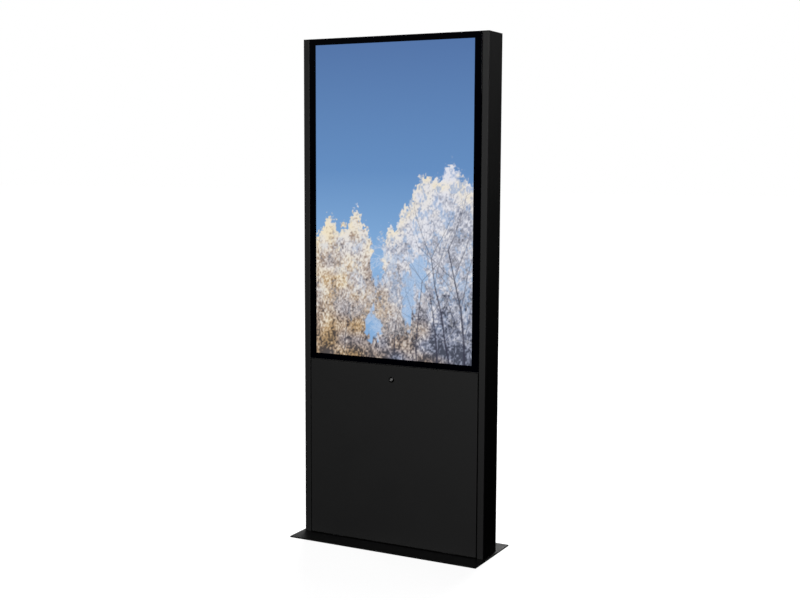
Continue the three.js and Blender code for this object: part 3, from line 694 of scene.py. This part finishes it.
def service_door():
    low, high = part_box("service_door")
    sheet = 0.0015
    bend = 0.002
    lip = 0.012
    depth = high.y - low.y
    inner = bend - sheet
    quarter = [math.radians(15 * k) for k in range(7)]
    outside = [(bend - bend * math.sin(a), bend - bend * math.cos(a)) for a in quarter]
    outside += [(bend - bend * math.cos(a), depth - bend + bend * math.sin(a)) for a in quarter]
    inside = [(bend - inner * math.cos(a), depth - bend + inner * math.sin(a)) for a in reversed(quarter)]
    inside += [(bend - inner * math.sin(a), bend - inner * math.cos(a)) for a in reversed(quarter)]
    hoops = []
    for inset, back in outside + [(lip, depth), (lip, depth - sheet)] + inside:
        outline = rounded((low.x + inset, low.z + inset), (high.x - inset, high.z - inset), 0.0008, 3)
        hoops.append([(x, low.y + back, z) for x, z in outline])
    lock = middle_of("lock_barrel")
    lock_hole, notch, foot_opening, past = 0.0093, 0.0023, 0.025, 0.001
    tools = [pulled(ring((lock.x, lock.z), lock_hole, 48), -low.y - 0.01, -low.y + 0.01, STANDING, 0)]
    for side in ("left", "right"):
        leaf_low, leaf_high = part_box("hinge_base_leaf_" + side)
        tools.append(slab((leaf_low.x - past, low.y - past, low.z - past),
                          (leaf_high.x + past, high.y + past, low.z + notch)))
    tools.append(slab((low.x + lip, high.y - 2 * past, low.z - past),
                      (high.x - lip, high.y + past, low.z + foot_opening)))
    pan = carved(lofted(hoops), *tools)
    made("door_pan", pan, black_coat, "door", ["service_door"], "powder_black")
    for side in ("left", "right"):
        dress("door_stiffener_" + side, inner_paint)


service_door()


# ---- Hinges ----
# Two short blackened steel hinges on which the door drops open, one leaf screwed to the plate
# and one to the door's foot, round a plain steel pin.
def blackened_steel():
    """Black oxide, rubbed a little brighter in random patches."""
    oxide = Finish("blackened_steel", Metallic=0.6)
    rubbed = oxide.noise(60, 5, 0.7)
    oxide.set(Base_Color=oxide.mix(rubbed, (0.010, 0.010, 0.011), (0.024, 0.024, 0.026)))
    oxide.set(Roughness=oxide.between(rubbed, 0.35, 0.7, 0.38, 0.6))
    oxide.bump(oxide.noise(900, 2), 0.00005, 0.4)
    return oxide


oxide = blackened_steel()
for side in ("left", "right"):
    for leaf in ("hinge_base_leaf_", "hinge_door_leaf_", "hinge_pin_"):
        dress(leaf + side, oxide, 0.0002)


# ---- Lock ----
# A small cam lock: a turned barrel with a rounded bezel, clamped through the door by a nut from
# behind, and a core with a keyway that carries the cam.
def bright_nickel(name, dark, light, shine):
    """Polished plating with faint wear marks in fine mottled patches."""
    plating = Finish(name, Metallic=1.0)
    marks = plating.noise(260, 4, 0.7)
    plating.set(Base_Color=plating.mix(marks, dark, light))
    plating.set(Roughness=plating.between(marks, 0.3, 0.75, *shine))
    plating.bump(plating.noise(1500, 2), 0.00003, 0.4)
    return plating


nickel = bright_nickel("bright_nickel", (0.55, 0.55, 0.54), (0.68, 0.68, 0.67), (0.34, 0.46))
dark_nickel = bright_nickel("dark_nickel", (0.02, 0.02, 0.021), (0.035, 0.035, 0.037), (0.2, 0.32))


def turned(profile, middle, steps=48):
    """A turned piece: a profile of (radius, place along Y) spun round the line through middle."""
    hoops = []
    for radius, depth in profile:
        points = ring(middle, radius, steps) if radius else [tuple(middle)]
        hoops.append([(x, depth, z) for x, z in points])
    return lofted(hoops, closed=bool(profile[0][0]))


def door_lock():
    low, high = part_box("lock_barrel")
    middle = middle_of("lock_barrel")
    spot = (middle.x, middle.z)
    bezel = high.x - middle.x
    body = 0.009
    core_low, core_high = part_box("lock_core")
    core = core_high.x - middle_of("lock_core").x
    bore = core + 0.00013
    door_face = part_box("service_door")[0].y
    round_over = 0.0022
    off_door = 0.0003
    profile = [(bore, high.y), (bore, low.y + 0.0009), (bore + 0.0009, low.y)]
    for k in range(7):
        angle = math.radians(90 * k / 6)
        profile.append((bezel - round_over + round_over * math.sin(angle),
                        low.y + round_over - round_over * math.cos(angle)))
    profile += [(bezel, door_face - off_door), (body, door_face - off_door), (body, high.y - 0.0006),
                (body - 0.0006, high.y)]
    made("lock_bezel", turned(profile, spot, 64), dark_nickel, "door", ["lock_barrel"], "lock_chrome")

    face = core_low.y
    profile = [(0, face + 0.0003), (core - 0.0012, face), (core, face + 0.0007), (core, core_high.y),
               (0, core_high.y)]
    half_wide, half_tall, deep = 0.0009, 0.0036, 0.011
    keyway = slab((spot[0] - half_wide, face - 0.001, spot[1] - half_tall),
                  (spot[0] + half_wide, face + deep, spot[1] + half_tall), 0.0004)
    plug = carved(turned(profile, spot, 64), keyway)
    made("lock_plug", plug, nickel, "lock", ["lock_core"], "lock_chrome")
    dress("lock_nut", zinc, 0.0005)
    dress("lock_cam", zinc, 0.0005)


door_lock()


# ---- Rear covers ----
# Two removable sheets of 2 mm steel, laser-cut with rows of vent slots: an intake low down, a
# grille over each fan, and a window for the mains inlet.
def rear_covers():
    pitch = 0.011
    slot_size = (0.1, 0.005)
    screw_hole = 0.0028
    screws = [middle_of(node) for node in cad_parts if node.startswith("cover_screw_")]
    fans = [middle_of("fan_frame_" + side) for side in ("left", "right")]
    inlet_low, inlet_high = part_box("mains_inlet")
    window = 0.0047
    for level in ("upper", "lower"):
        low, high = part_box("rear_cover_" + level)
        if level == "upper":
            starts = ((fans[0].z - 4.5 * pitch, 10), (low.z + 0.060, 4))
        else:
            starts = ((high.z - 0.110, 5),)
        holes = [slot_hole((fan.x, start + k * pitch), *slot_size)
                 for fan in fans for start, rows in starts for k in range(rows)]
        holes += [ring((screw.x, screw.z), screw_hole, 20) for screw in screws if low.z < screw.z < high.z]
        if level == "lower":
            holes.append(rounded((inlet_low.x + window, inlet_low.z + window),
                                 (inlet_high.x - window, inlet_high.z - window), 0.001, 3))
        outline = rounded((low.x, low.z), (high.x, high.z), 0.002, 4)
        sheet = cut_sheet(outline, holes, -high.y, -low.y, 0.0003, STANDING)
        made("cover_" + level, sheet, black_coat, stands_for=["rear_cover_" + level], slot="powder_black")


rear_covers()


# ---- Cover screws ----
# Black button-head screws with a hexagon socket, eight of them, through the covers' edges into
# tapped strips.
def cover_screws():
    for node in sorted(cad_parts):
        if not node.startswith("cover_screw_"):
            continue
        low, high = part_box(node)
        spot = (middle_of(node).x, middle_of(node).z)
        head = (high.x - low.x) / 2
        shank = 0.0025
        seat = high.y - 0.0026
        crown = 0.0013
        rim = 0.0003
        dome = [(crown + (head - crown) * math.cos(a), seat + rim + (high.y - seat - rim) * math.sin(a))
                for a in (math.radians(90 * k / 8) for k in range(9))]
        profile = [(0, low.y), (shank - 0.0004, low.y), (shank, low.y + 0.0004), (shank, seat), (head, seat)]
        blank = turned(profile + dome + [(0, high.y)], spot, 40)
        socket = pulled(ring(spot, 0.00175, 6), -high.y - 0.001, -high.y + 0.0015, STANDING, 0)
        screw = carved(blank, socket)
        made(node.replace("cover_", "button_"), screw, oxide, stands_for=[node], slot="zinc_steel")


cover_screws()


# ---- Fans ----
# Two 120 mm exhaust fans behind the grilles: a moulded frame with a motor on three struts, and
# a rotor of seven curved blades.
def spun(mesh, spot, angle):
    """Turns a mesh drawn round the kiosk's middle by an angle, and sets it at a spot on the rear."""
    mesh.transform(Matrix.Translation((spot[0], 0, spot[1])) @ Matrix.Rotation(angle, 4, "Y"))
    return mesh


def fan(side):
    low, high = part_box("fan_frame_" + side)
    middle = (low + high) / 2
    spot = (middle.x, middle.z)
    bore = 0.057
    flange = 0.0035
    wall = 0.0018
    reach = 0.0525
    corners = [(spot[0] + reach * a, spot[1] + reach * b) for a in (-1, 1) for b in (-1, 1)]
    holes = [ring(spot, bore, 72)] + [ring(corner, 0.0022, 16) for corner in corners]
    outline = rounded((low.x, low.z), (high.x, high.z), 0.005, 5)
    plates = [cut_sheet(outline, holes, start, start + flange, 0.0004, STANDING)
              for start in (-high.y, -low.y - flange)]
    first, last = low.y + 0.001, high.y - 0.001
    duct = turned([(bore, first), (bore, last), (bore + wall, last), (bore + wall, first)], spot, 72)
    radius = 0.019
    behind = low.y + 0.004
    eased = [(radius - 0.0015, low.y), (radius, low.y + 0.0012)]
    motor = turned([(0, low.y), *eased, (radius, behind), (0, behind)], spot)
    inner = (radius - 0.001, low.y + 0.0002, -0.0025)
    outer = (bore + 0.0008, behind, 0.0025)
    struts = [spun(slab(inner, outer, 0.0012, 0.0004), spot, k * 2 * math.pi / 3 + 0.5) for k in range(3)]
    made("fan_case_" + side, joined(*plates, duct, motor, *struts), black_plastic,
         stands_for=["fan_frame_" + side], slot="plastic_black")

    rotor = "fan_rotor_" + side
    front, back = (corner.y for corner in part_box(rotor))
    cup = [(0, front + 0.0006), (radius - 0.0015, front + 0.0006), (radius, front + 0.002),
           (radius, back - 0.004), (radius - 0.003, back - 0.001), (0, back - 0.0006)]
    pieces = [turned(cup, spot)]
    blades = 7
    tip = 0.0545
    for k in range(blades):
        sections = []
        for part in range(9):
            share = part / 8
            out = radius - 0.001 + (tip - radius + 0.001) * share
            sweep = 0.34 * share ** 1.4
            half = math.radians(26 - 6 * share)
            hoop = []
            for rim in (1, -1):
                for step in range(7):
                    run = (step / 6 if rim == 1 else 1 - step / 6)
                    turn = sweep + half * (2 * run - 1)
                    camber = 0.0018 * math.sin(math.pi * run)
                    thick = 0.0007 * (0.35 + math.sin(math.pi * min(max(run, 0.08), 0.92)))
                    depth = back - 0.003 - (back - front - 0.006) * run + camber + rim * thick
                    hoop.append((out * math.cos(turn), depth, out * math.sin(turn)))
            sections.append(hoop)
        pieces.append(spun(lofted(sections), spot, k * 2 * math.pi / blades))
    made("fan_wheel_" + side, joined(*pieces), grey_plastic, rotor, [rotor], "plastic_grey")


for side in ("left", "right"):
    fan(side)


# ---- Equipment plate ----
# A zinc-plated plate with folded wings across the service bay, which carries the electronics.
dress("equipment_plate", zinc)


# ---- Media player ----
# A small fanless computer in a moulded case with vent slots, a row of ports, a status lamp and
# a round power button.
def status_lamp():
    """A green lens, lit from behind."""
    lens = Finish("status_lamp", Roughness=0.25, Emission_Strength=1.2)
    glow = lens.noise(600, 2)
    lens.set(Base_Color=lens.mix(glow, (0.02, 0.30, 0.06), (0.03, 0.42, 0.10)))
    lens.set(Emission_Color=lens.mix(glow, (0.02, 0.50, 0.08), (0.03, 0.70, 0.14)))
    return lens


def media_player():
    low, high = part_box("media_player")
    button = middle_of("player_button")
    face = low.y
    outside = face - 0.001
    tools = [pulled(ring((button.x, button.z), 0.0064, 48), -face - 0.006, -outside, STANDING, 0)]
    top, foot = high.z - 0.015, high.z - 0.060
    for k in range(8):
        start = low.x + 0.024 + 0.016 * k
        tools.append(slab((start, outside, foot), (start + 0.006, face + 0.002, top), 0.0028))
    for start, wide in ((0.014, 0.014), (0.040, 0.013), (0.058, 0.013)):
        tools.append(slab((low.x + start, outside, low.z + 0.014),
                          (low.x + start + wide, face + 0.006, low.z + 0.020), 0.0008))
    lamp = (high.x - 0.045, low.z + 0.022)
    tools.append(pulled(ring(lamp, 0.0021, 24), -face - 0.002, -outside, STANDING, 0))
    case = carved(slab(low, high, 0.006, 0.0018), *tools)
    made("player_case", case, black_plastic, stands_for=["media_player"], slot="plastic_black")
    profile = [(0, face + 0.0002), (0.0014, face + 0.0006), (0.0019, face + 0.0019), (0, face + 0.0019)]
    made("player_lamp", turned(profile, lamp, 24), status_lamp(), slot="plastic_black")

    low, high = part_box("player_button")
    radius = high.x - button.x
    dish, rim = 0.0006, 0.0008
    profile = [(0, low.y + dish), (radius * 0.7, low.y + 0.3 * dish), (radius - rim, low.y),
               (radius, low.y + rim), (radius, high.y), (0, high.y)]
    push = turned(profile, (button.x, button.z))
    made("player_push", push, grey_plastic, "player_button", ["player_button"], "plastic_grey")


media_player()


# ---- Power strip ----
# A moulded bar of five earthed sockets, screwed to the equipment plate.
def power_strip():
    low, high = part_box("power_strip")
    pitch = 0.055
    plugged_in = 2
    tools = []
    for k in range(5):
        spot = ((low.x + high.x) / 2 + pitch * (k - 2), (low.z + high.z) / 2)
        if k != plugged_in:
            tools.append(pulled(ring(spot, 0.0195, 56), -low.y - 0.004, -low.y + 0.001, STANDING, 0))
            for side in (-1, 1):
                pin = (spot[0] + side * 0.0095, spot[1])
                tools.append(pulled(ring(pin, 0.0025, 20), -low.y - 0.016, -low.y - 0.0035, STANDING, 0))
    bar = carved(slab(low, high, 0.010, 0.002), *tools)
    made("socket_bar", bar, black_plastic, stands_for=["power_strip"], slot="plastic_black")


power_strip()


# ---- Leads ----
# Four jacketed leads, clipped inside the body from end to end: mains from the inlet to the
# sockets, power and picture to the display, and one from the touch controller.
def lead_jacket():
    """Black jacket, matt, with a slight ripple along it."""
    jacket = Finish("lead_jacket", Specular_IOR_Level=0.4)
    cloud = jacket.noise(40, 4)
    jacket.set(Base_Color=jacket.mix(cloud, (0.010, 0.010, 0.010), (0.020, 0.020, 0.020)))
    jacket.set(Roughness=jacket.between(cloud, 0.3, 0.7, 0.5, 0.68))
    jacket.bump(jacket.noise(500, 2), 0.0001, 0.4)
    return jacket


def routed(points):
    """A smooth line through the points, each stretch eased by the distance between them."""
    per = 8
    spots = [Vector(point) for point in points]
    spots = [2 * spots[0] - spots[1], *spots, 2 * spots[-1] - spots[-2]]
    line = []
    for a, b, c, d in zip(spots, spots[1:], spots[2:], spots[3:]):
        first, second, third = ((q - p).length ** 0.5 for p, q in ((a, b), (b, c), (c, d)))
        into = ((b - a) / first - (c - a) / (first + second) + (c - b) / second) * second
        out = ((c - b) / second - (d - b) / (second + third) + (d - c) / third) * second
        for k in range(per):
            t = k / per
            line.append((2 * t ** 3 - 3 * t ** 2 + 1) * b + (t ** 3 - 2 * t ** 2 + t) * into
                        + (3 * t ** 2 - 2 * t ** 3) * c + (t ** 3 - t ** 2) * out)
    return line + [spots[-2]]


def jacketed(line, radius):
    """A round tube along a line."""
    sides = 16
    hoops = []
    across = None
    for before, spot, after in zip([line[0]] + line, line, line[1:] + [line[-1]]):
        way = (after - before).normalized()
        across = (across or way.orthogonal()).cross(way).cross(way).normalized() * -1
        up = way.cross(across)
        hoops.append([spot + radius * (math.cos(a) * across + math.sin(a) * up)
                      for a in (2 * math.pi * k / sides for k in range(sides))])
    return lofted(hoops)


jacket = lead_jacket()


def lead(name, points, radius, plug_low, plug_high):
    """A lead on its route, and the moulded plug at its lower end."""
    tube = jacketed(routed(points), radius)
    plug = slab(plug_low, plug_high, 0.003, 0.0015)
    made(name.replace("_lead", "_cable"), joined(tube, plug), jacket, stands_for=[name], slot="cable_jacket")


def leads():
    driver_low, driver_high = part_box("driver_board_cover")
    y = (driver_low.y + driver_high.y) / 2
    under = driver_low.z - 0.0003
    bar_low, bar_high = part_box("power_strip")
    level = (bar_low.z + bar_high.z) / 2
    face = bar_low.y
    lead("display_lead", [
        (-0.100, y, under),
        (-0.100, y, under - 0.060),
        (-0.115, y + 0.006, 0.800),
        (-0.135, -0.008, 0.640),
        (-0.150, -0.010, 0.480),
        (-0.160, -0.014, 0.340),
        (-0.160, face - 0.014, level + 0.008),
    ], 0.0035, (-0.174, face - 0.0223, level - 0.012), (-0.146, face - 0.0003, level + 0.012))
    player_low, player_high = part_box("media_player")
    top = player_high.z + 0.0003
    depth = (player_low.y + player_high.y) / 2
    lead("video_lead", [
        (0.060, y, under),
        (0.060, y, under - 0.060),
        (0.064, y + 0.006, 0.800),
        (0.090, -0.002, 0.640),
        (0.102, depth, 0.560),
        (0.102, depth, top + 0.020),
    ], 0.003, (0.092, depth - 0.005, top), (0.112, depth + 0.005, top + 0.026))
    controller_low, controller_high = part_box("touch_controller")
    from_board = (controller_low.z + controller_high.z) / 2
    picture_middle = from_board - 0.090
    lead("touch_lead", [
        (controller_high.x + 0.0003, y, from_board),
        (0.090, y, from_board),
        (0.150, y, picture_middle + 0.060),
        (0.167, y, picture_middle),
        (0.167, y, picture_middle - 0.300),
        (0.167, y + 0.004, 0.800),
        (0.161, -0.002, 0.640),
        (0.159, depth, 0.560),
        (0.159, depth, top + 0.014),
    ], 0.002, (0.152, depth - 0.0035, top), (0.166, depth + 0.0035, top + 0.020))
    inlet = middle_of("mains_inlet")
    inlet_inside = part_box("mains_inlet")[0].y
    beside = bar_high.x
    lead("mains_lead", [
        (inlet.x, inlet_inside - 0.001, inlet.z),
        (inlet.x, 0.014, inlet.z),
        (inlet.x - 0.050, -0.006, inlet.z),
        (0.120, -0.010, 0.150),
        (0.040, -0.006, 0.225),
        (beside + 0.014, face + 0.019, level),
    ], 0.004, (beside + 0.0003, face + 0.010, level - 0.009), (beside + 0.022, face + 0.028, level + 0.009))


leads()


# ---- Mains inlet ----
# A moulded inlet with a rocker switch over its socket, screwed into the lower cover's window.
def mains_inlet():
    low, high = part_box("mains_inlet")
    middle = (low + high) / 2
    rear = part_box("rear_cover_lower")[1].y
    flange = slab((low.x, rear + 0.0003, low.z), (high.x, high.y, high.z), 0.004, 0.0008)
    body = slab((low.x + 0.005, low.y, low.z + 0.005), (high.x - 0.005, rear + 0.001, high.z - 0.005), 0.002)
    past = high.y + 0.001
    floor = rear - 0.017
    x, z = middle.x, middle.z
    socket = slab((x - 0.013, floor, z - 0.024), (x + 0.013, past, z - 0.006), 0.004)
    well = slab((x - 0.011, rear - 0.012, z + 0.004), (x + 0.011, past, z + 0.026), 0.0008)
    shell = joined(carved(flange, socket, well), carved(body, socket.copy(), well.copy()))
    made("inlet_shell", shell, black_plastic, stands_for=["mains_inlet"], slot="plastic_black")
    pins = []
    for x, z in ((-0.007, -0.0165), (0, -0.013), (0.007, -0.0165)):
        x, z = middle.x + x, middle.z + z
        pins.append(slab((x - 0.001, floor, z - 0.002), (x + 0.001, rear - 0.003, z + 0.002), 0.0004, 0.0003))
    made("inlet_pins", joined(*pins), nickel, slot="plastic_black")

    low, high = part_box("inlet_rocker")
    pivot = (rear - 0.004, middle.z + 0.015)
    profile = [(-0.004, -0.004), (0.0065, -0.0094), (0.0082, -0.0094), (0.0085, -0.0090)]
    profile += [(0.006 + 0.0025 * (k / 5) ** 2, 0.0090 * k / 5) for k in range(-4, 5)]
    profile += [(0.0085, 0.0090), (0.0082, 0.0094), (0.0065, 0.0094), (-0.004, 0.004)]
    tilt = math.radians(8)
    outline = [(pivot[0] + math.cos(tilt) * out - math.sin(tilt) * up,
                pivot[1] + math.sin(tilt) * out + math.cos(tilt) * up) for out, up in profile]
    cap = pulled(outline, low.x, high.x, EDGEWISE, 0.0004)
    made("rocker_cap", cap, grey_plastic, "inlet_rocker", ["inlet_rocker"], "plastic_grey")


mains_inlet()


# ---- Studio ----
# A pale floor, its glow painted a shade darker round the kiosk's foot, and soft light: a broad lamp
# in front, another high behind, and a narrow one for each side and the back. The room is white to
# look at, but its mirrored light is dark low down.
def studio():
    floor_mesh = bpy.data.meshes.new("floor")
    corners = [(x, y, 0) for x, y in rounded((-60, -60), (60, 60))]
    floor_mesh.from_pydata(corners, [], [(0, 1, 2, 3)])
    floor = bpy.data.objects.new("floor", floor_mesh)
    scene.collection.objects.link(floor)
    pale = Finish("pale_floor", Base_Color=(0.3, 0.3, 0.3), Roughness=0.9, Emission_Strength=1.0)
    away = pale.node("VectorMath", {"operation": "LENGTH"}, {0: pale.place()}, out="Value")
    # Painted shade: the floor's glow is 0.91 within half a metre of the kiosk's middle, rising to 1.0 at 1.6
    # m, so that the lamps' faint contact shadow shows round its foot.
    pale.set(Emission_Color=pale.mix(pale.between(away, 0.5, 1.6), (0.91, 0.91, 0.91), (1, 1, 1)))
    floor_mesh.materials.append(pale.material)
    floor.visible_glossy = False
    floor.visible_diffuse = False

    world = bpy.data.worlds.new("room")
    scene.world = world
    world.use_nodes = True
    tree = world.node_tree
    tree.nodes.clear()

    def add(kind, **sockets):
        node = tree.nodes.new("ShaderNode" + kind)
        for key, value in sockets.items():
            socket = node.inputs[int(key[1:]) if key[1:].isdigit() else key]
            if hasattr(value, "is_output"):
                tree.links.new(value, socket)
            else:
                socket.default_value = value
        return node.outputs

    path = add("LightPath")
    way = add("SeparateXYZ", _0=add("TexCoord")["Generated"])
    rise = add("MapRange", _0=way["Z"], _1=0.0, _2=0.35, _3=0.0, _4=0.22)[0]
    left = add("MapRange", _0=way["X"], _1=-0.25, _2=-0.55, _3=0.02, _4=1.0)[0]
    product = tree.nodes.new("ShaderNodeMath")
    product.operation = "MULTIPLY"
    tree.links.new(rise, product.inputs[0])
    tree.links.new(left, product.inputs[1])
    mirrored = add("Background", Strength=product.outputs[0])[0]
    filling = add("Background", Strength=0.03)[0]
    seen = add("Background", Color=(1, 1, 1, 1))[0]
    unseen = add("MixShader", _0=path["Is Glossy Ray"], _1=filling, _2=mirrored)[0]
    add("OutputWorld", Surface=add("MixShader", _0=path["Is Camera Ray"], _1=unseen, _2=seen)[0])

    def lamp(name, kind, place, aim, power, **settings):
        data = bpy.data.lights.new(name, kind)
        data.energy = power
        for key, value in settings.items():
            setattr(data, key, value)
        holder = bpy.data.objects.new(name, data)
        holder.location = place
        holder.rotation_euler = (Vector(aim) - Vector(place)).to_track_quat("-Z", "Y").to_euler()
        scene.collection.objects.link(holder)

    def narrow(name, place, aim, power, cone, blend=0.6):
        beam = {"spot_size": math.radians(cone), "spot_blend": blend, "shadow_soft_size": 0.5}
        lamp(name, "SPOT", place, aim, power, **beam)

    lamp("front_lamp", "AREA", (0.3, -8.0, 3.0), (0, 0, 1.0), 255, shape="RECTANGLE", size=2.6, size_y=1.6)
    lamp("rear_lamp", "AREA", (-1.2, 4.2, 6.0), (0, 0, 1.0), 650, shape="RECTANGLE", size=3, size_y=3)
    narrow("side_lamp", (2.6, 0.2, 3.0), (0.4, 0, 2.2), 120, 60, 1.0)
    narrow("back_lamp", (-1.5, 5.0, 2.2), (0, 0, 1.35), 300, 22)
    narrow("left_lamp", (-3.2, 1.0, 2.6), (-0.4, 0, 1.4), 90, 36)


studio()
